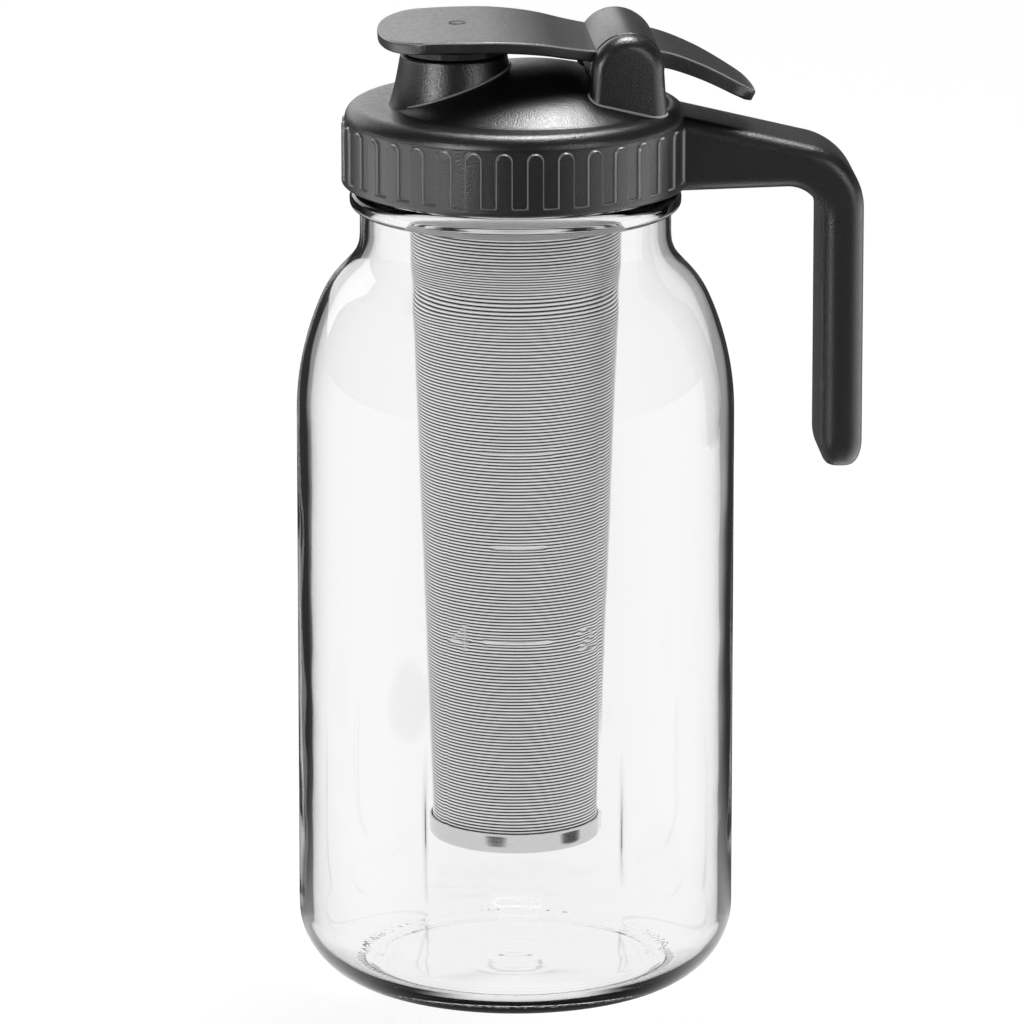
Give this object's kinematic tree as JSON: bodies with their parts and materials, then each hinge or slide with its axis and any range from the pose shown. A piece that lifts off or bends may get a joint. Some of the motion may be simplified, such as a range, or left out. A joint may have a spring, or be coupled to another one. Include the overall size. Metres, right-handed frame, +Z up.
{
  "type": "cold brew coffee maker",
  "caption": "Glass jar pitcher with a hanging mesh coffee filter, a ribbed screw lid with a flip-top spout and a side handle.",
  "frame": {"origin": "on the jar's axis, at the plane of the table it stands on", "axes": "+Z up along the jar's axis; -X toward the spout, +X toward the handle; Y along the lever's hinge pin"},
  "size_m": [0.1498, 0.1164, 0.2603],
  "materials": {
    "jar_glass": "clear, fire polished",
    "white_silicone": "translucent white, matte",
    "stainless_steel": "polished",
    "wire_mesh": "fine woven wire",
    "black_plastic": "fine spark-textured grain",
    "black_silicone": "smooth, matte"
  },
  "bodies": {
    "jar": {"glass_jar": "jar_glass", "filter_seal": "white_silicone", "filter_rim": "stainless_steel", "filter_mesh": "wire_mesh", "filter_bottom_cup": "stainless_steel"},
    "lid_seal": {"lid_gasket": "white_silicone"},
    "lid": {"lid_cap": "black_plastic", "hinge_pin": "black_plastic", "handle": "black_plastic"},
    "lever": {"flip_lever": "black_plastic", "spout_plug": "black_silicone"}
  },
  "joints": [
    {"name": "lid_rise", "type": "slide", "parent": "jar", "child": "lid_seal", "axis": [0, 0, 1], "range_m": [0, 0.00635]},
    {"name": "lid_turn", "type": "hinge", "parent": "lid_seal", "child": "lid", "pos_m": [0, 0, 0.22], "axis": [0, 0, 1], "range_deg": [0, 450]},
    {"name": "lever_tilt", "type": "hinge", "parent": "lid", "child": "lever", "pos_m": [0.028, 0, 0.2503], "axis": [0, 1, 0], "range_deg": [0, 9.5]}
  ],
  "couplings": [
    {"joint": "lid_rise", "follows": "lid_turn", "m_per_rad": 0.00080851}
  ]
}
